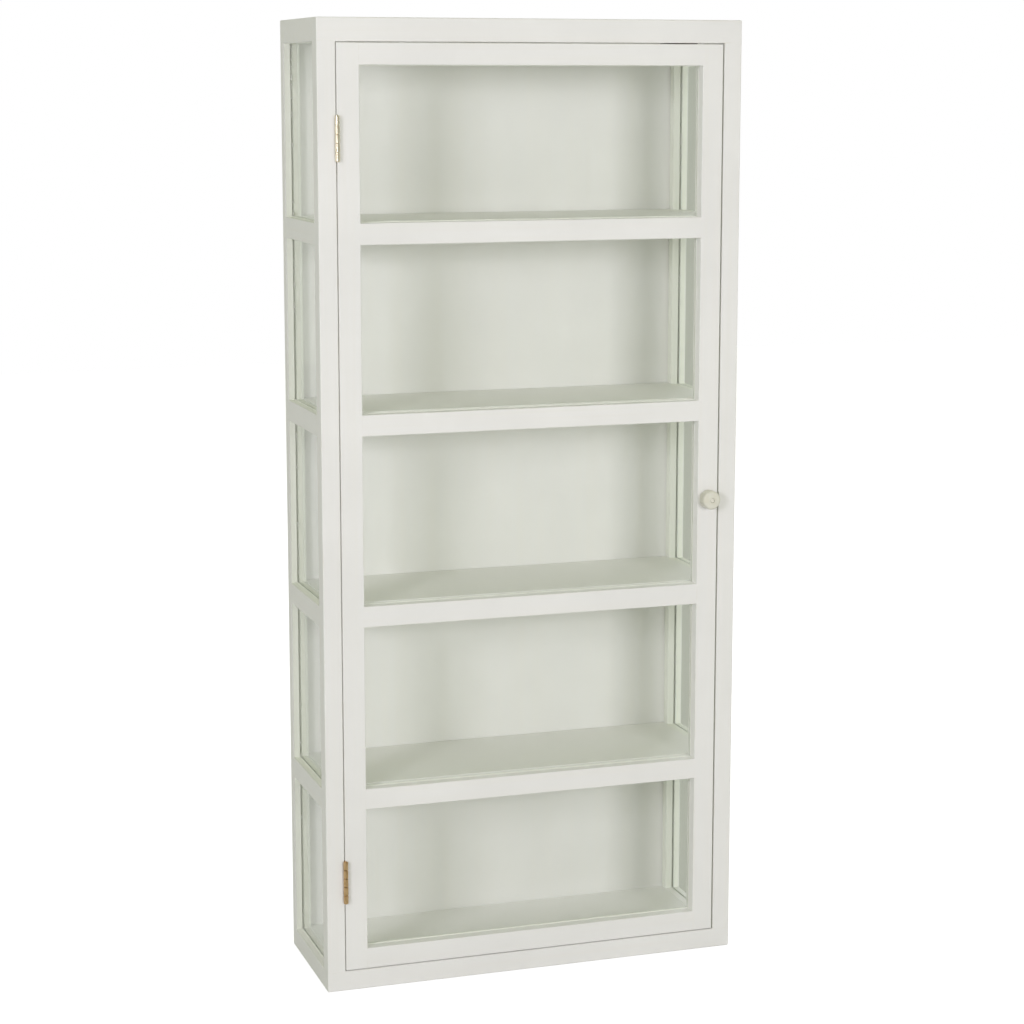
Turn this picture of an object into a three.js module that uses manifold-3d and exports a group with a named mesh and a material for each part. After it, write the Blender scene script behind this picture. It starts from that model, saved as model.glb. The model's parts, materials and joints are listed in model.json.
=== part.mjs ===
// Wall display cabinet: a painted wooden case with glazed sides and one glazed, inset door.
//
// Units are millimetres and +Z is up. The origin is the middle of the back face, where the
// cabinet meets the wall, and the front faces -Y. Inside the `cabinet` group the numbers are
// easier to read: x runs from the left side, y from the front face and z from the underside.

import * as THREE from 'three';
import { mergeVertices } from 'three/addons/utils/BufferGeometryUtils.js';
import { RoundedBoxGeometry } from 'three/addons/geometries/RoundedBoxGeometry.js';
import Module from 'manifold-3d';

// ---------------------------------------------------------------- driving dimensions

const CASE = { width: 498, depth: 171, height: 1100 };
const TOP_BOARD = 26;
const BOTTOM_BOARD = 23;
const SIDE_THICK = 19;
const FRONT_POST = { width: 21, depth: 19.5 };
const BACK_POST = { width: SIDE_THICK, depth: 14.5 };

// Glazing rails, shelves and side rails share these heights, numbered from the top.
const RAIL_CENTRES = [866, 654, 437, 225];
const RAIL_HEIGHT = 24;

// The door hangs a little closer to its hinges than to the other post. Its glazing is given by
// distances from the outside of the case.
const DOOR = {
  gap: { hinge: 0.8, lock: 1.6, ends: 1 },
  thick: 20,
  glazingInset: { side: 47.5, bottom: 48, top: 51 },
};

const GLASS = { thick: 2, inGroove: 5, sideCentre: 9.25, doorCentre: 14 };
const GROOVE = { width: 2.6, clearance: 0.5 };

const BACK_PANEL = { thick: 4, rebate: 6, clearance: 0.5 };
const SHELF = { thick: 18, aboveRailCentre: 13, behindDoor: 1.5, beforePanel: 0.5, ease: 0.8 };

const CASE_ROUND = 1.5;
const DOOR_ROUND = 1;
const OPENING_EASE = 0.6;

const HINGE = {
  centres: { upper: 970, lower: 130 },
  length: 50,
  knuckles: 5,
  knuckleGap: 0.2,
  barrelRadius: 2.7,
  boreRadius: 1.35,
  pinRadius: 1.25,
  pinProud: 0.6,
  barrelProud: 3,
  leafThick: 0.75,
  leafRecess: 0.45,
  recessClearance: 0.3,
  leafDepth: 17,
  leafSetBack: 0.5,
  screwSpacing: 17,
  screwInset: 10.5,
  screwHeadRadius: 2.6,
  screwShankRadius: 1.3,
  screwHoleStretch: 1.02,
};

const KNOB = {
  height: 550,
  radius: 11,
  neckRadius: 10,
  neckLength: 3,
  neckFoot: 1,
  projection: 16,
  edgeRound: 2.5,
  crown: 0.8,
  screwHole: 2.3,
  screwHoleDepth: 10,
  plugHole: 2.7,
  plugHoleDepth: 4.5,
};
const KNOB_PLUG = { radius: 2.4, length: 4.2, crown: 0.5 };
const KNOB_SCREW = { shank: 2, head: 4, headThick: 2.5, headEase: 1, reach: 9 };

const CATCH = { left: 412, width: 32, depth: 15, height: 14, behindDoor: 1.75, round: 1.2 };
const MAGNET = { width: 19, height: 7, depth: 9, clearance: 0.3, setBack: 0.25 };
const STRIKE = { width: 27, height: 11, thick: 1.25, below: 13, cornerRadius: 2.5, holeRadius: 1.7 };

const HANGER = {
  width: 40,
  height: 14,
  thick: 1.5,
  fromSide: 60,
  centreBelowTop: 10,
  entryRadius: 3.5,
  slotRadius: 1.8,
  slotRise: 4.5,
  entryDrop: 2,
  screwOffset: 15,
  screwRadius: 1.7,
  pocketWidth: 11,
  pocketHeight: 12,
  pocketDepth: 8,
  clearance: 0.3,
  cornerRadius: 3,
};

// Where a small crowned end bends: a share of its radius and the share of the crown reached there.
const CROWN_BEND = { out: 0.7, up: 0.7 };

const ROUND_SEGMENTS = 24;
const KNOB_SEGMENTS = 48;

// ---------------------------------------------------------------- derived positions

const doorLeft = FRONT_POST.width + DOOR.gap.hinge;
const doorRight = CASE.width - FRONT_POST.width - DOOR.gap.lock;
const doorBottom = BOTTOM_BOARD + DOOR.gap.ends;
const doorTop = CASE.height - TOP_BOARD - DOOR.gap.ends;
const doorGlazing = {
  low: DOOR.glazingInset.side,
  high: CASE.width - DOOR.glazingInset.side,
  bottom: DOOR.glazingInset.bottom,
  top: CASE.height - DOOR.glazingInset.top,
};

const caseInside = { bottom: BOTTOM_BOARD, top: CASE.height - TOP_BOARD };
const sideOpening = { front: FRONT_POST.depth, back: CASE.depth - BACK_POST.depth };
const panelFront = CASE.depth - BACK_PANEL.thick;
const knobX = (doorGlazing.high + doorRight) / 2;

// ---------------------------------------------------------------- materials

function finish(color, roughness, metalness = 0) {
  return new THREE.MeshStandardMaterial({ color, roughness, metalness });
}

const PAINT_FRAME = 0xe4e3de;
const PAINT_INSIDE = 0xdadbd3;
const BRASS = 0xb79a63;
const STEEL = 0x9b9b98;

const framePaint = () => finish(PAINT_FRAME, 0.5);
const brass = () => finish(BRASS, 0.3, 1);
const steel = () => finish(STEEL, 0.35, 1);

function glassMaterial() {
  const material = finish(0xdfe9e2, 0.05);
  material.transparent = true;
  material.opacity = 0.3;
  return material;
}

// ---------------------------------------------------------------- solid modelling helpers

const wasm = await Module();
wasm.setup();

// A closed three.js geometry as a manifold solid.
function solid(geometry) {
  const bare = geometry.clone();
  bare.deleteAttribute('normal');
  bare.deleteAttribute('uv');
  const merged = mergeVertices(bare, 1e-5);
  return new wasm.Manifold(new wasm.Mesh({
    numProp: 3,
    vertProperties: new Float32Array(merged.attributes.position.array),
    triVerts: new Uint32Array(merged.index.array),
  }));
}

function geometryOf(body) {
  const mesh = body.getMesh();
  const geometry = new THREE.BufferGeometry();
  geometry.setAttribute('position', new THREE.BufferAttribute(mesh.vertProperties, 3));
  geometry.setIndex(new THREE.BufferAttribute(mesh.triVerts, 1));
  geometry.computeVertexNormals();
  return geometry;
}

function subtractAll(body, cutters) {
  return cutters.reduce((left, cutter) => left.subtract(cutter), body);
}

// A box between two opposite corners.
function block(low, high) {
  const [x0, y0, z0] = low;
  const [x1, y1, z1] = high;
  const geometry = new THREE.BoxGeometry(x1 - x0, y1 - y0, z1 - z0);
  return geometry.translate((x0 + x1) / 2, (y0 + y1) / 2, (z0 + z1) / 2);
}

function roundedBlock(low, high, radius, segments) {
  const [x0, y0, z0] = low;
  const [x1, y1, z1] = high;
  const geometry = new RoundedBoxGeometry(x1 - x0, y1 - y0, z1 - z0, segments, radius);
  return geometry.translate((x0 + x1) / 2, (y0 + y1) / 2, (z0 + z1) / 2);
}

// A cylinder along Z, or along Y when `alongY` is set, centred on (x, y, z).
function cylinder(radius, length, centre, alongY = false, segments = ROUND_SEGMENTS) {
  const geometry = new THREE.CylinderGeometry(radius, radius, length, segments);
  if (!alongY) {
    geometry.rotateX(Math.PI / 2);
  }
  return geometry.translate(...centre);
}

function roundedRectangle(width, height, radius) {
  const shape = new THREE.Shape();
  const [right, top] = [width / 2, height / 2];
  shape.absarc(right - radius, top - radius, radius, 0, Math.PI / 2);
  shape.absarc(radius - right, top - radius, radius, Math.PI / 2, Math.PI);
  shape.absarc(radius - right, radius - top, radius, Math.PI, 1.5 * Math.PI);
  shape.absarc(right - radius, radius - top, radius, 1.5 * Math.PI, 2 * Math.PI);
  shape.closePath();
  return shape;
}

// The part of an opening that flares outwards at a face, so that the wood round the opening
// gets a small eased edge. It is made on the XY plane with the face's outward normal along +Z.
function flare(width, height) {
  const shape = new THREE.Shape();
  shape.moveTo(-width / 2, -height / 2);
  shape.lineTo(width / 2, -height / 2);
  shape.lineTo(width / 2, height / 2);
  shape.lineTo(-width / 2, height / 2);
  shape.closePath();
  return new THREE.ExtrudeGeometry(shape, {
    depth: 1,
    bevelThickness: OPENING_EASE,
    bevelSize: OPENING_EASE,
    bevelSegments: 1,
  });
}

// ---------------------------------------------------------------- the model

const model = new THREE.Group();
const cabinet = new THREE.Group();
cabinet.position.set(-CASE.width / 2, -CASE.depth, -CASE.height / 2);
model.add(cabinet);

function add(name, geometry, material) {
  const mesh = new THREE.Mesh(geometry, material);
  mesh.name = name;
  cabinet.add(mesh);
}

// Heights of the five openings between `bottom` and `top`, from the top one down.
function baysBetween(bottom, top) {
  const edges = [top];
  for (const centre of RAIL_CENTRES) {
    edges.push(centre + RAIL_HEIGHT / 2, centre - RAIL_HEIGHT / 2);
  }
  edges.push(bottom);
  const bays = [];
  for (let i = 0; i < edges.length; i += 2) {
    bays.push({ low: edges[i + 1], high: edges[i] });
  }
  return bays;
}

const sideBays = baysBetween(caseInside.bottom, caseInside.top);
const doorBays = baysBetween(doorGlazing.bottom, doorGlazing.top);

// ---------------------------------------------------------------- cutters

// Eased edges of an opening seen from the front, on the face at `y` that looks along `facing`.
function frontFlare(x0, x1, z0, z1, y, facing) {
  const geometry = flare(x1 - x0, z1 - z0);
  geometry.rotateX(facing < 0 ? Math.PI / 2 : -Math.PI / 2);
  return solid(geometry.translate((x0 + x1) / 2, y, (z0 + z1) / 2));
}

// The same on a side wall, on the face at `x` that looks along `facing`.
function sideFlare(bay, x, facing) {
  const geometry = flare(bay.high - bay.low, sideOpening.back - sideOpening.front);
  geometry.rotateY(facing < 0 ? -Math.PI / 2 : Math.PI / 2);
  const middle = (sideOpening.front + sideOpening.back) / 2;
  return solid(geometry.translate(x, middle, (bay.low + bay.high) / 2));
}

function doorGroove(bay) {
  const reach = GLASS.inGroove + GROOVE.clearance;
  const y = GLASS.doorCentre;
  const half = GROOVE.width / 2;
  return solid(block(
    [doorGlazing.low - reach, y - half, bay.low - reach],
    [doorGlazing.high + reach, y + half, bay.high + reach],
  ));
}

function sideGroove(bay, centreX) {
  const reach = GLASS.inGroove + GROOVE.clearance;
  const half = GROOVE.width / 2;
  return solid(block(
    [centreX - half, sideOpening.front - reach, bay.low - reach],
    [centreX + half, sideOpening.back + reach, bay.high + reach],
  ));
}

const sides = {
  left: { outer: 0, inner: SIDE_THICK, outward: -1 },
  right: { outer: CASE.width, inner: CASE.width - SIDE_THICK, outward: 1 },
};
for (const side of Object.values(sides)) {
  side.glassX = side.outer - side.outward * GLASS.sideCentre;
  side.cutters = sideBays.flatMap((bay) => [
    sideGroove(bay, side.glassX),
    sideFlare(bay, side.outer, side.outward),
    sideFlare(bay, side.inner, -side.outward),
  ]);
}

const postEdge = FRONT_POST.width;
sides.left.mortises = leafMortises(postEdge - HINGE.leafRecess, postEdge + 1);
sides.right.mortises = [];
const stileMortises = leafMortises(doorLeft - 1, doorLeft + HINGE.leafRecess);

const doorCutters = doorBays.flatMap((bay) => [
  doorGroove(bay),
  frontFlare(doorGlazing.low, doorGlazing.high, bay.low, bay.high, 0, -1),
  frontFlare(doorGlazing.low, doorGlazing.high, bay.low, bay.high, DOOR.thick, 1),
]);

const doorwayEase = frontFlare(
  FRONT_POST.width,
  CASE.width - FRONT_POST.width,
  caseInside.bottom,
  caseInside.top,
  0,
  -1,
);

// Shallow mortises for the hinge leaves, from `low` to `high` across the edge of a post or stile.
function leafMortises(low, high) {
  const half = HINGE.length / 2 + HINGE.recessClearance;
  return Object.values(HINGE.centres).map((centre) => solid(block(
    [low, -1, centre - half],
    [high, HINGE.leafDepth + HINGE.recessClearance, centre + half],
  )));
}

const panelRebate = solid(block(
  [SIDE_THICK - BACK_PANEL.rebate, panelFront, BOTTOM_BOARD - BACK_PANEL.rebate],
  [CASE.width - SIDE_THICK + BACK_PANEL.rebate, CASE.depth + 1, caseInside.top + BACK_PANEL.rebate],
));

const caseBlank = solid(roundedBlock(
  [0, 0, 0],
  [CASE.width, CASE.depth, CASE.height],
  CASE_ROUND,
  2,
));

const doorBlank = solid(roundedBlock(
  [doorLeft, 0, doorBottom],
  [doorRight, DOOR.thick, doorTop],
  DOOR_ROUND,
  1,
));

// ---------------------------------------------------------------- hanger plates

const hangerZ = CASE.height - HANGER.centreBelowTop;

// Outline of a keyhole: a round entry with a narrow slot rising from it.
function keyhole() {
  const hole = new THREE.Path();
  const rise = HANGER.slotRise;
  const spread = Math.asin(HANGER.slotRadius / HANGER.entryRadius);
  const up = Math.PI / 2;
  hole.absarc(0, 0, HANGER.entryRadius, up + spread, up - spread + 2 * Math.PI);
  hole.absarc(0, rise, HANGER.slotRadius, 0, Math.PI);
  hole.closePath();
  return hole;
}

function hangerPlate(centreX) {
  const shape = roundedRectangle(HANGER.width, HANGER.height, HANGER.cornerRadius);
  const entry = keyhole().getPoints(8);
  shape.holes.push(new THREE.Path(entry.map((point) => {
    return new THREE.Vector2(point.x, point.y - HANGER.entryDrop);
  })));
  for (const sign of [-1, 1]) {
    const screw = new THREE.Path();
    screw.absarc(sign * HANGER.screwOffset, 0, HANGER.screwRadius, 0, 2 * Math.PI);
    shape.holes.push(screw);
  }
  const geometry = new THREE.ExtrudeGeometry(shape, {
    depth: HANGER.thick,
    bevelEnabled: false,
    curveSegments: 6,
  });
  geometry.rotateX(Math.PI / 2);
  return geometry.translate(centreX, CASE.depth, hangerZ);
}

function hangerRecess(centreX) {
  const half = [HANGER.width / 2 + HANGER.clearance, HANGER.height / 2 + HANGER.clearance];
  const plateBack = CASE.depth - HANGER.thick;
  const recess = solid(block(
    [centreX - half[0], plateBack, hangerZ - half[1]],
    [centreX + half[0], CASE.depth + 1, hangerZ + half[1]],
  ));
  const pocket = solid(block(
    [centreX - HANGER.pocketWidth / 2, plateBack - HANGER.pocketDepth, hangerZ - HANGER.pocketHeight / 2],
    [centreX + HANGER.pocketWidth / 2, plateBack + 1, hangerZ + HANGER.pocketHeight / 2],
  ));
  return recess.add(pocket);
}

const hangers = {
  left: HANGER.fromSide,
  right: CASE.width - HANGER.fromSide,
};

// ---------------------------------------------------------------- the case

function addCase() {
  const shape = (body, cutters) => geometryOf(subtractAll(body, cutters).intersect(caseBlank));
  const glassCutters = [...sides.left.cutters, ...sides.right.cutters];
  const boardCutters = [...glassCutters, doorwayEase, panelRebate];

  const topBoard = solid(block([0, 0, caseInside.top], [CASE.width, CASE.depth, CASE.height]));
  const recesses = Object.values(hangers).map(hangerRecess);
  add('top_board', shape(topBoard, [...boardCutters, ...recesses]), framePaint());

  const bottomBoard = solid(block([0, 0, 0], [CASE.width, CASE.depth, BOTTOM_BOARD]));
  add('bottom_board', shape(bottomBoard, boardCutters), framePaint());

  for (const [name, side] of Object.entries(sides)) {
    const postCutters = [...side.cutters, doorwayEase, panelRebate, ...side.mortises];
    const onSide = (width) => (side.outward < 0 ? [0, width] : [CASE.width - width, CASE.width]);

    const [frontLow, frontHigh] = onSide(FRONT_POST.width);
    const frontPost = solid(block(
      [frontLow, 0, caseInside.bottom],
      [frontHigh, FRONT_POST.depth, caseInside.top],
    ));
    add(`${name}_front_post`, shape(frontPost, postCutters), framePaint());

    const [backLow, backHigh] = onSide(BACK_POST.width);
    const backPost = solid(block(
      [backLow, sideOpening.back, caseInside.bottom],
      [backHigh, CASE.depth, caseInside.top],
    ));
    add(`${name}_back_post`, shape(backPost, postCutters), framePaint());

    RAIL_CENTRES.forEach((centre, index) => {
      const rail = solid(block(
        [backLow, sideOpening.front, centre - RAIL_HEIGHT / 2],
        [backHigh, sideOpening.back, centre + RAIL_HEIGHT / 2],
      ));
      add(`${name}_side_rail_${index + 1}`, shape(rail, side.cutters), framePaint());
    });

    sideBays.forEach((bay, index) => {
      const pane = block(
        [side.glassX - GLASS.thick / 2, sideOpening.front - GLASS.inGroove, bay.low - GLASS.inGroove],
        [side.glassX + GLASS.thick / 2, sideOpening.back + GLASS.inGroove, bay.high + GLASS.inGroove],
      );
      add(`${name}_side_glass_${index + 1}`, pane, glassMaterial());
    });

    add(`${name}_hanger_plate`, hangerPlate(hangers[name]), steel());
  }
}

function addBackPanel() {
  const reach = BACK_PANEL.rebate - BACK_PANEL.clearance;
  const panel = block(
    [SIDE_THICK - reach, panelFront, caseInside.bottom - reach],
    [CASE.width - SIDE_THICK + reach, CASE.depth, caseInside.top + reach],
  );
  add('back_panel', panel, finish(PAINT_INSIDE, 0.6));
}

function addShelves() {
  RAIL_CENTRES.forEach((centre, index) => {
    const top = centre + SHELF.aboveRailCentre;
    const shelf = roundedBlock(
      [SIDE_THICK, DOOR.thick + SHELF.behindDoor, top - SHELF.thick],
      [CASE.width - SIDE_THICK, panelFront - SHELF.beforePanel, top],
      SHELF.ease,
      1,
    );
    add(`shelf_${index + 1}`, shelf, finish(PAINT_INSIDE, 0.55));
  });
}

// ---------------------------------------------------------------- the door

function addDoorFrame() {
  const shape = (body, cutters) => geometryOf(subtractAll(body, cutters).intersect(doorBlank));

  const leftStile = solid(block([doorLeft, 0, doorBottom], [doorGlazing.low, DOOR.thick, doorTop]));
  add('door_left_stile', shape(leftStile, [...doorCutters, ...stileMortises]), framePaint());

  const screwHole = solid(cylinder(
    KNOB.screwHole,
    DOOR.thick + 2,
    [knobX, DOOR.thick / 2, KNOB.height],
    true,
  ));
  const rightStile = solid(block([doorGlazing.high, 0, doorBottom], [doorRight, DOOR.thick, doorTop]));
  add('door_right_stile', shape(rightStile, [...doorCutters, screwHole]), framePaint());

  const rails = {
    door_top_rail: [doorGlazing.top, doorTop],
    door_bottom_rail: [doorBottom, doorGlazing.bottom],
  };
  RAIL_CENTRES.forEach((centre, index) => {
    rails[`door_rail_${index + 1}`] = [centre - RAIL_HEIGHT / 2, centre + RAIL_HEIGHT / 2];
  });
  for (const [name, [low, high]] of Object.entries(rails)) {
    const rail = solid(block([doorGlazing.low, 0, low], [doorGlazing.high, DOOR.thick, high]));
    add(name, shape(rail, doorCutters), framePaint());
  }
}

function addDoorGlass() {
  doorBays.forEach((bay, index) => {
    const pane = block(
      [doorGlazing.low - GLASS.inGroove, GLASS.doorCentre - GLASS.thick / 2, bay.low - GLASS.inGroove],
      [doorGlazing.high + GLASS.inGroove, GLASS.doorCentre + GLASS.thick / 2, bay.high + GLASS.inGroove],
    );
    add(`door_glass_${index + 1}`, pane, glassMaterial());
  });
}

// ---------------------------------------------------------------- hinges

const barrel = { x: doorLeft, y: -HINGE.barrelProud };

// One leaf: a flat plate let into the wood beside the gap, with its share of the barrel's knuckles.
// `inset` is the plate's low x, `tabFrom` the y where the plate meets the barrel and `first`
// the first of the knuckles that it carries, every other one.
function hingeLeaf(centreZ, inset, tabFrom, first, headSide) {
  const bottom = centreZ - HINGE.length / 2;
  const pitch = HINGE.length / HINGE.knuckles;
  let leaf = solid(block(
    [inset, HINGE.leafSetBack, bottom],
    [inset + HINGE.leafThick, HINGE.leafDepth, bottom + HINGE.length],
  ));
  for (let knuckle = first; knuckle < HINGE.knuckles; knuckle += 2) {
    const low = bottom + knuckle * pitch + HINGE.knuckleGap / 2;
    const high = low + pitch - HINGE.knuckleGap;
    const tab = block([inset, tabFrom, low], [inset + HINGE.leafThick, 2 * HINGE.leafSetBack, high]);
    const tube = cylinder(HINGE.barrelRadius, high - low, [barrel.x, barrel.y, (low + high) / 2]);
    leaf = leaf.add(solid(tab)).add(solid(tube));
  }
  const bore = solid(cylinder(HINGE.boreRadius, HINGE.length + 2, [barrel.x, barrel.y, centreZ]));
  return subtractAll(leaf, [bore, ...hingeScrewHoles(centreZ, inset, headSide)]);
}

// Countersunk holes through a leaf, widest on the side that faces the other leaf.
function hingeScrewHoles(centreZ, inset, headSide) {
  const holes = [];
  for (const step of [-1, 0, 1]) {
    const cone = new THREE.CylinderGeometry(
      HINGE.screwHeadRadius,
      HINGE.screwShankRadius,
      HINGE.leafThick,
      ROUND_SEGMENTS,
    );
    cone.scale(1, HINGE.screwHoleStretch, 1);
    cone.rotateZ(-headSide * Math.PI / 2);
    cone.translate(
      inset + HINGE.leafThick / 2,
      HINGE.screwInset,
      centreZ + step * HINGE.screwSpacing,
    );
    holes.push(solid(cone));
  }
  return holes;
}

function hingePin(centreZ) {
  const half = HINGE.length / 2;
  const crown = HINGE.pinProud;
  const profile = [
    new THREE.Vector2(0, -half - crown),
    new THREE.Vector2(HINGE.pinRadius * CROWN_BEND.out, -half - crown * CROWN_BEND.up),
    new THREE.Vector2(HINGE.pinRadius, -half),
    new THREE.Vector2(HINGE.pinRadius, half),
    new THREE.Vector2(HINGE.pinRadius * CROWN_BEND.out, half + crown * CROWN_BEND.up),
    new THREE.Vector2(0, half + crown),
  ];
  const geometry = new THREE.LatheGeometry(profile, ROUND_SEGMENTS);
  return geometry.rotateX(Math.PI / 2).translate(barrel.x, barrel.y, centreZ);
}

function addHinges() {
  for (const [name, centreZ] of Object.entries(HINGE.centres)) {
    const frameLeaf = hingeLeaf(centreZ, postEdge - HINGE.leafRecess, barrel.y, 0, 1);
    const doorInset = doorLeft + HINGE.leafRecess - HINGE.leafThick;
    const doorLeaf = hingeLeaf(centreZ, doorInset, barrel.y / 2, 1, -1);
    add(`${name}_hinge_frame_leaf`, geometryOf(frameLeaf), brass());
    add(`${name}_hinge_door_leaf`, geometryOf(doorLeaf), brass());
    add(`${name}_hinge_pin`, hingePin(centreZ), brass());
  }
}

// ---------------------------------------------------------------- knob

// A drum, slightly narrower at its foot, with a rounded front edge and a slightly crowned face.
// The profile runs from the door face (height 0) to the front.
function knobProfile() {
  const { radius, neckRadius, neckLength, neckFoot, projection, edgeRound, crown } = KNOB;
  const points = [new THREE.Vector2(0, 0), new THREE.Vector2(neckRadius, 0)];
  const flareSteps = 4;
  for (let i = 1; i <= flareSteps; i += 1) {
    const turn = (i / flareSteps) * Math.PI / 2;
    points.push(new THREE.Vector2(
      neckRadius + (radius - neckRadius) * (1 - Math.cos(turn)),
      neckFoot + (neckLength - neckFoot) * Math.sin(turn),
    ));
  }
  const edgeStart = projection - crown - edgeRound;
  const edgeSteps = 6;
  for (let i = 0; i <= edgeSteps; i += 1) {
    const turn = (i / edgeSteps) * Math.PI / 2;
    points.push(new THREE.Vector2(
      radius - edgeRound + edgeRound * Math.cos(turn),
      edgeStart + edgeRound * Math.sin(turn),
    ));
  }
  points.push(new THREE.Vector2((radius - edgeRound) / 2, projection - crown / 4));
  points.push(new THREE.Vector2(0, projection));
  return points;
}

// Turns a lathe profile that grows along +Y into a piece that grows from `y` towards the viewer.
function turned(profile, segments, y) {
  const geometry = new THREE.LatheGeometry(profile, segments);
  return geometry.rotateX(Math.PI).translate(knobX, y, KNOB.height);
}

function addKnob() {
  const body = solid(turned(knobProfile(), KNOB_SEGMENTS, 0));
  const screwHole = cylinder(
    KNOB.screwHole,
    2 * KNOB.screwHoleDepth,
    [knobX, 0, KNOB.height],
    true,
  );
  const plugHole = cylinder(
    KNOB.plugHole,
    2 * KNOB.plugHoleDepth,
    [knobX, -KNOB.projection, KNOB.height],
    true,
  );
  const knob = subtractAll(body, [solid(screwHole), solid(plugHole)]);
  add('knob', geometryOf(knob), finish(0xd6cfb4, 0.45));

  const plug = [
    new THREE.Vector2(0, 0),
    new THREE.Vector2(KNOB_PLUG.radius, 0),
    new THREE.Vector2(KNOB_PLUG.radius, KNOB_PLUG.length - KNOB_PLUG.crown),
    new THREE.Vector2(
      KNOB_PLUG.radius * CROWN_BEND.out,
      KNOB_PLUG.length - KNOB_PLUG.crown * (1 - CROWN_BEND.up),
    ),
    new THREE.Vector2(0, KNOB_PLUG.length),
  ];
  const plugBase = KNOB.plugHoleDepth - KNOB.projection;
  add('knob_plug', turned(plug, ROUND_SEGMENTS, plugBase), finish(0xcfc8ac, 0.5));

  const back = DOOR.thick + KNOB_SCREW.headThick;
  const shankEnd = back + KNOB_SCREW.reach;
  const screw = [
    new THREE.Vector2(0, 0),
    new THREE.Vector2(KNOB_SCREW.head - KNOB_SCREW.headEase, 0),
    new THREE.Vector2(KNOB_SCREW.head, KNOB_SCREW.headEase),
    new THREE.Vector2(KNOB_SCREW.head, KNOB_SCREW.headThick),
    new THREE.Vector2(KNOB_SCREW.shank, KNOB_SCREW.headThick),
    new THREE.Vector2(KNOB_SCREW.shank, shankEnd),
    new THREE.Vector2(0, shankEnd),
  ];
  add('knob_screw', turned(screw, ROUND_SEGMENTS, back), steel());
}

// ---------------------------------------------------------------- magnetic catch

const catchFront = DOOR.thick + CATCH.behindDoor;
const catchMiddle = CATCH.left + CATCH.width / 2;

function addCatch() {
  const bodyLow = [CATCH.left, catchFront, caseInside.top - CATCH.height];
  const bodyHigh = [CATCH.left + CATCH.width, catchFront + CATCH.depth, caseInside.top];
  const magnetZ = caseInside.top - CATCH.height / 2;
  const half = [MAGNET.width / 2, MAGNET.height / 2];
  const pocket = block(
    [catchMiddle - half[0], catchFront - 1, magnetZ - half[1]],
    [catchMiddle + half[0], catchFront + MAGNET.depth, magnetZ + half[1]],
  );
  const body = solid(roundedBlock(bodyLow, bodyHigh, CATCH.round, 1)).subtract(solid(pocket));
  add('catch_body', geometryOf(body), finish(0x3b2f26, 0.5));

  const magnetHalf = half.map((size) => size - MAGNET.clearance);
  const magnetBack = catchFront + MAGNET.depth - MAGNET.clearance;
  const magnet = block(
    [catchMiddle - magnetHalf[0], catchFront + MAGNET.setBack, magnetZ - magnetHalf[1]],
    [catchMiddle + magnetHalf[0], magnetBack, magnetZ + magnetHalf[1]],
  );
  add('catch_magnet', magnet, finish(0x4a4a4c, 0.4, 1));
}

function addStrikePlate() {
  const shape = roundedRectangle(STRIKE.width, STRIKE.height, STRIKE.cornerRadius);
  const hole = new THREE.Path();
  hole.absarc(0, 0, STRIKE.holeRadius, 0, 2 * Math.PI);
  shape.holes.push(hole);
  const geometry = new THREE.ExtrudeGeometry(shape, {
    depth: STRIKE.thick,
    bevelEnabled: false,
    curveSegments: 8,
  });
  geometry.rotateX(-Math.PI / 2);
  geometry.translate(catchMiddle, DOOR.thick, doorTop - STRIKE.below + STRIKE.height / 2);
  add('strike_plate', geometry, steel());
}

// ---------------------------------------------------------------- assembly

addCase();
addBackPanel();
addShelves();
addCatch();
addDoorFrame();
addDoorGlass();
addHinges();
addKnob();
addStrikePlate();

export default model;
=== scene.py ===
"""Looks of the wall display cabinet: paint, glass, brass and the small pieces that the CAD leaves out.

All lengths are in metres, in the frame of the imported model: +X to the cabinet's right, +Y into the
wall and +Z up, with the origin in the middle of the back face.
"""

import json
import math
import random

import bmesh
import bpy
from mathutils import Matrix, Vector


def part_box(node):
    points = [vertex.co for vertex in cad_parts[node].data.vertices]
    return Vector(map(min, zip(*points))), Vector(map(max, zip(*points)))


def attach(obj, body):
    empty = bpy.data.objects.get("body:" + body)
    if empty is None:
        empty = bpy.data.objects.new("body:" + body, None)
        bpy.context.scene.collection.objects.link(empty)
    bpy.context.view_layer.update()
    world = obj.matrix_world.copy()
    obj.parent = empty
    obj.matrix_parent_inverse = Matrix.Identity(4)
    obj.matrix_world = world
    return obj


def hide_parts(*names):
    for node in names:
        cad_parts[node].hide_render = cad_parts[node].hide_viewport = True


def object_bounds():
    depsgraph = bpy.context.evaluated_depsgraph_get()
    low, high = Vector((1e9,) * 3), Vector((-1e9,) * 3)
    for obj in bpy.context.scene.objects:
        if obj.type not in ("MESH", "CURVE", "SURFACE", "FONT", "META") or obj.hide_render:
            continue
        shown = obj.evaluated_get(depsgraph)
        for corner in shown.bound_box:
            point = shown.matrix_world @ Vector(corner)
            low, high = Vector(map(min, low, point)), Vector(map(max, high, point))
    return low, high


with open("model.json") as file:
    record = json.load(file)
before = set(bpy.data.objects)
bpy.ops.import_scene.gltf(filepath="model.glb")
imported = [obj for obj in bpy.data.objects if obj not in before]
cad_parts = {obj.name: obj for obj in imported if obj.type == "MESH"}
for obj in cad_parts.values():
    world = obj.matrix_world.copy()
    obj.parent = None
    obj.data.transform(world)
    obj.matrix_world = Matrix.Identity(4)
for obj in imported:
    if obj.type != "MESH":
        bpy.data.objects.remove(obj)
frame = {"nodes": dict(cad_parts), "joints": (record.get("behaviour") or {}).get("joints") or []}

MM = 0.001
BACKWARD, FORWARD, DOWNWARD = (0.0, 1.0, 0.0), (0.0, -1.0, 0.0), (0.0, 0.0, -1.0)

cad_low, cad_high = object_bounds()


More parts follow.
